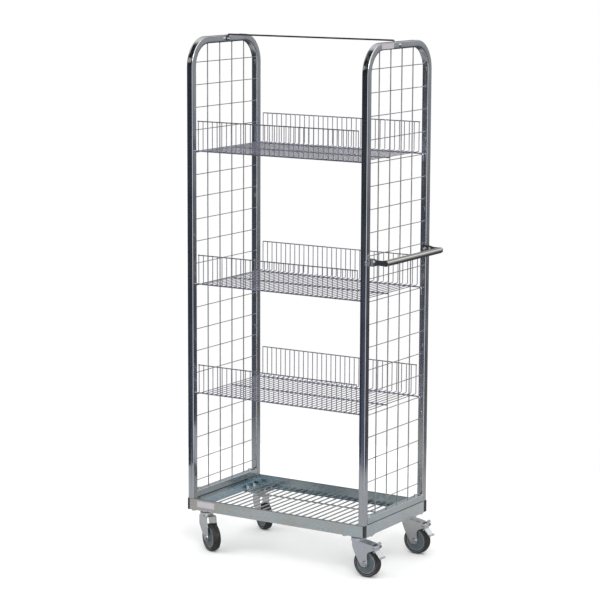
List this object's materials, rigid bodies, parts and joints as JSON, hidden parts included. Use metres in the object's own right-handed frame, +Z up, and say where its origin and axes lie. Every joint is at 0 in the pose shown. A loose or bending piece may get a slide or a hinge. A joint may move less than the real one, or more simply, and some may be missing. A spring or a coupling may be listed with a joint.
{
  "type": "roll cage container",
  "caption": "Tall roll container with tube-and-mesh end frames, a wire deck, lift-off wire baskets, a push handle and swivel casters with pedal brakes.",
  "frame": {"origin": "on the floor, straight below the centre of the base frame", "axes": "+Z up; +X along the long side, towards the end frame with the push handle; +Y from the front with the blank label to the back"},
  "size_m": [0.8188, 0.464, 1.868],
  "materials": {
    "zinc_tube": "bright zinc plated square tube, satin",
    "zinc_sheet": "bright zinc plated sheet with a faint blue tint",
    "zinc_wire": "bright zinc plated wire",
    "caster_zinc": "zinc plated pressed steel",
    "bolt_steel": "zinc plated fastener",
    "ball_steel": "polished bearing steel",
    "dark_steel": "dark grey steel, satin",
    "chrome_tube": "polished plated tube",
    "black_plastic": "matt black plastic",
    "label_white": "blank label plate",
    "hub_grey": "grey moulded plastic",
    "tyre_rubber": "black rubber"
  },
  "bodies": {
    "base": {"base_front_rail": "zinc_sheet", "base_back_rail": "zinc_sheet", "base_left_rail": "zinc_sheet", "base_right_rail": "zinc_sheet", "base_corner_gussets": "zinc_sheet", "base_corner_strips": "black_plastic", "deck_grid": "zinc_wire", "left_frame_tube": "zinc_tube", "right_frame_tube": "zinc_tube", "left_bottom_rail": "zinc_tube", "right_bottom_rail": "zinc_tube", "left_side_mesh": "zinc_wire", "right_side_mesh": "zinc_wire", "tie_bar": "dark_steel", "handle_tube": "chrome_tube", "handle_brackets": "dark_steel", "handle_end_plugs": "black_plastic", "frame_bolts": "bolt_steel", "tube_bolts": "bolt_steel", "m8_nuts": "bolt_steel", "blank_labels": "label_white", "caster_top_plates": "zinc_sheet", "caster_kingpins": "bolt_steel", "caster_bearing_balls": "ball_steel", "caster_plate_bolts": "bolt_steel", "caster_plate_nuts": "bolt_steel"},
    "swivel_fl": {"caster_fl_fork": "caster_zinc", "caster_fl_axle": "bolt_steel", "caster_fl_axle_nut": "bolt_steel", "caster_fl_sleeve": "bolt_steel"},
    "wheel_fl": {"caster_fl_hub": "hub_grey", "caster_fl_tyre": "tyre_rubber"},
    "swivel_fr": {"caster_fr_fork": "caster_zinc", "caster_fr_axle": "bolt_steel", "caster_fr_axle_nut": "bolt_steel", "caster_fr_sleeve": "bolt_steel", "caster_fr_pedal_pin": "bolt_steel"},
    "wheel_fr": {"caster_fr_hub": "hub_grey", "caster_fr_tyre": "tyre_rubber"},
    "brake_fr": {"caster_fr_pedal": "caster_zinc"},
    "swivel_bl": {"caster_bl_fork": "caster_zinc", "caster_bl_axle": "bolt_steel", "caster_bl_axle_nut": "bolt_steel", "caster_bl_sleeve": "bolt_steel"},
    "wheel_bl": {"caster_bl_hub": "hub_grey", "caster_bl_tyre": "tyre_rubber"},
    "swivel_br": {"caster_br_fork": "caster_zinc", "caster_br_axle": "bolt_steel", "caster_br_axle_nut": "bolt_steel", "caster_br_sleeve": "bolt_steel", "caster_br_pedal_pin": "bolt_steel"},
    "wheel_br": {"caster_br_hub": "hub_grey", "caster_br_tyre": "tyre_rubber"},
    "brake_br": {"caster_br_pedal": "caster_zinc"},
    "basket_bottom": {"shelf_bottom": "zinc_wire"},
    "basket_middle": {"shelf_middle": "zinc_wire"},
    "basket_top": {"shelf_top": "zinc_wire"}
  },
  "joints": [
    {"name": "swivel_fl_turn", "type": "hinge", "parent": "base", "child": "swivel_fl", "pos_m": [-0.3215, -0.179, 0.138], "axis": [0, 0, 1], "continuous": true},
    {"name": "wheel_fl_roll", "type": "hinge", "parent": "swivel_fl", "child": "wheel_fl", "pos_m": [-0.28513, -0.2, 0.05], "axis": [0.5, 0.866, 0], "continuous": true},
    {"name": "swivel_fr_turn", "type": "hinge", "parent": "base", "child": "swivel_fr", "pos_m": [0.3215, -0.179, 0.138], "axis": [0, 0, 1], "continuous": true},
    {"name": "wheel_fr_roll", "type": "hinge", "parent": "swivel_fr", "child": "wheel_fr", "pos_m": [0.36344, -0.1812, 0.05], "axis": [0.0523, 0.9986, 0], "continuous": true},
    {"name": "brake_fr_press", "type": "hinge", "parent": "swivel_fr", "child": "brake_fr", "pos_m": [0.39939, -0.18308, 0.1105], "axis": [0.0523, 0.9986, 0], "range_deg": [0, 16]},
    {"name": "swivel_bl_turn", "type": "hinge", "parent": "base", "child": "swivel_bl", "pos_m": [-0.3215, 0.179, 0.138], "axis": [0, 0, 1], "continuous": true},
    {"name": "wheel_bl_roll", "type": "hinge", "parent": "swivel_bl", "child": "wheel_bl", "pos_m": [-0.28628, 0.15613, 0.05], "axis": [0.5446, 0.8387, 0], "continuous": true},
    {"name": "swivel_br_turn", "type": "hinge", "parent": "base", "child": "swivel_br", "pos_m": [0.3215, 0.179, 0.138], "axis": [0, 0, 1], "continuous": true},
    {"name": "wheel_br_roll", "type": "hinge", "parent": "swivel_br", "child": "wheel_br", "pos_m": [0.3634, 0.17607, 0.05], "axis": [0.0698, 0.9976, 0], "continuous": true},
    {"name": "brake_br_press", "type": "hinge", "parent": "swivel_br", "child": "brake_br", "pos_m": [0.39931, 0.17356, 0.1105], "axis": [0.0698, 0.9976, 0], "range_deg": [0, 16]},
    {"name": "basket_bottom_lift", "type": "slide", "parent": "base", "child": "basket_bottom", "axis": [0, 0, 1], "range_m": [0, 0.035]},
    {"name": "basket_middle_lift", "type": "slide", "parent": "base", "child": "basket_middle", "axis": [0, 0, 1], "range_m": [0, 0.035]},
    {"name": "basket_top_lift", "type": "slide", "parent": "base", "child": "basket_top", "axis": [0, 0, 1], "range_m": [0, 0.035]}
  ]
}
